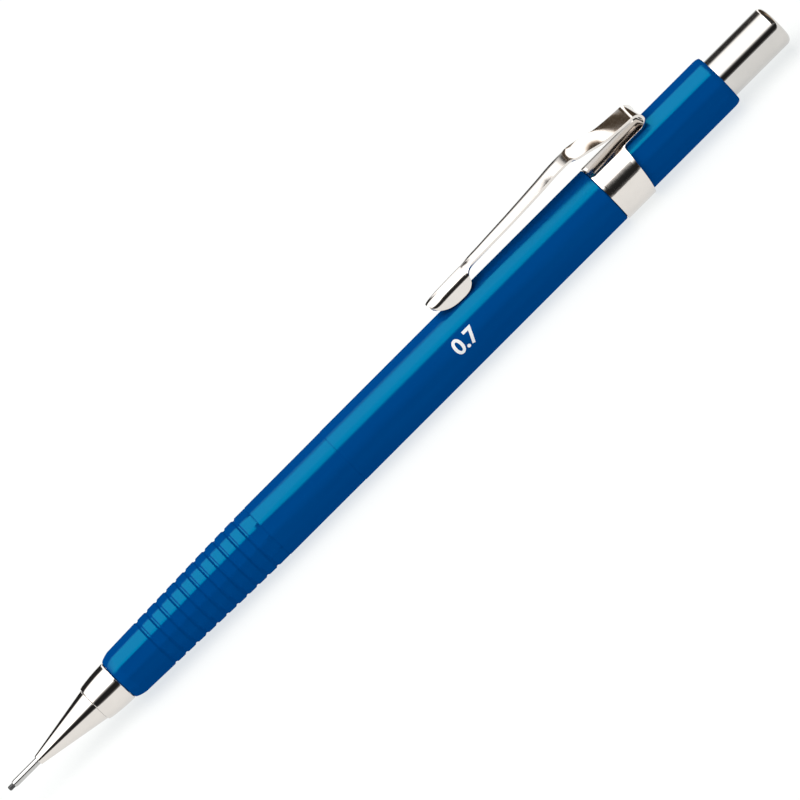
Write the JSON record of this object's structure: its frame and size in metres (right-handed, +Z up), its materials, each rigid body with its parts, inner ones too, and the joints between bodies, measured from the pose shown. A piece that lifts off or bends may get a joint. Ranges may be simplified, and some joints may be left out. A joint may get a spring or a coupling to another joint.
{
  "type": "mechanical pencil",
  "caption": "Faceted push-button mechanical pencil with a grooved grip, metal tip, sprung pocket clip and a push cap over an eraser.",
  "frame": {"origin": "centre of the bounding box in X and Y, at its lowest point: the bottom of the clip's ring, on the surface the pencil lies on", "axes": "+X along the pencil from the writing tip to the push cap, +Y across it, +Z up, towards the clip"},
  "size_m": [0.1436, 0.0094, 0.0128],
  "materials": {
    "blue_plastic": "satin pearl blue, moulded and faceted",
    "black_plastic": "plain moulded",
    "bright_chrome": "polished plating",
    "nickel": "dull nickel",
    "sleeve_steel": "drawn steel tube",
    "spring_steel": "drawn wire",
    "brass": "turned",
    "dark_rubber": "moulded",
    "tube_plastic": "milky extruded tube",
    "graphite": "polished graphite and binder",
    "white_eraser": "soft matt vinyl"
  },
  "bodies": {
    "barrel": {"barrel": "blue_plastic", "connector": "black_plastic", "return_spring": "spring_steel", "clip_band": "bright_chrome"},
    "tip": {"tip_cone": "bright_chrome", "tip_collar": "bright_chrome", "lead_sleeve": "sleeve_steel", "lead_retainer": "dark_rubber"},
    "plunger": {"lead_tube": "tube_plastic", "chuck": "brass", "eraser_ferrule": "nickel"},
    "chuck_ring": {"chuck_ring": "brass"},
    "jaw_1": {"chuck_jaw_1": "brass"},
    "jaw_2": {"chuck_jaw_2": "brass"},
    "jaw_3": {"chuck_jaw_3": "brass"},
    "lead": {"lead": "graphite"},
    "spare_leads": {"spare_leads": "graphite"},
    "eraser": {"eraser": "white_eraser", "cleaning_pin": "spring_steel"},
    "push_cap": {"push_cap": "bright_chrome"},
    "clip_arm": {"clip_arm": "bright_chrome"}
  },
  "joints": [
    {"name": "tip_off", "type": "slide", "parent": "barrel", "child": "tip", "axis": [-1, 0, 0], "range_m": [0, 0.016]},
    {"name": "push", "type": "slide", "parent": "barrel", "child": "plunger", "axis": [-1, 0, 0], "range_m": [0, 0.003], "stiffness_N_per_m": 900, "springref_m": -0.002, "deforming": ["return_spring"]},
    {"name": "ring_travel", "type": "slide", "parent": "barrel", "child": "chuck_ring", "axis": [-1, 0, 0], "range_m": [0, 0.0006]},
    {"name": "jaw_1_open", "type": "hinge", "parent": "plunger", "child": "jaw_1", "pos_m": [-0.04695, 0, 0.00393], "axis": [0, -1, 0], "range_deg": [0, 1.3]},
    {"name": "jaw_2_open", "type": "hinge", "parent": "plunger", "child": "jaw_2", "pos_m": [-0.04695, 0.00062, 0.00501], "axis": [0, 0.5, -0.866], "range_deg": [0, 1.3]},
    {"name": "jaw_3_open", "type": "hinge", "parent": "plunger", "child": "jaw_3", "pos_m": [-0.04695, -0.00062, 0.00501], "axis": [0, 0.5, 0.866], "range_deg": [0, 1.3]},
    {"name": "lead_feed", "type": "slide", "parent": "chuck_ring", "child": "lead", "axis": [-1, 0, 0], "range_m": [-0.0009, 0.03]},
    {"name": "spare_leads_slide", "type": "slide", "parent": "plunger", "child": "spare_leads", "axis": [1, 0, 0], "range_m": [-0.002, 0.028]},
    {"name": "eraser_pull", "type": "slide", "parent": "plunger", "child": "eraser", "axis": [1, 0, 0], "range_m": [0, 0.025]},
    {"name": "cap_pull", "type": "slide", "parent": "eraser", "child": "push_cap", "axis": [1, 0, 0], "range_m": [0, 0.018]},
    {"name": "clip_open", "type": "hinge", "parent": "barrel", "child": "clip_arm", "pos_m": [0.04904, 0, 0.01005], "axis": [0, 1, 0], "range_deg": [0, 3], "stiffness_Nm_per_rad": 2.2, "springref_deg": -1.72}
  ],
  "couplings": [
    {"joint": "ring_travel", "follows": "push", "ratio": 0.2},
    {"joint": "jaw_1_open", "follows": "push", "rad_per_m": 7.5},
    {"joint": "jaw_2_open", "follows": "push", "rad_per_m": 7.5},
    {"joint": "jaw_3_open", "follows": "push", "rad_per_m": 7.5}
  ]
}
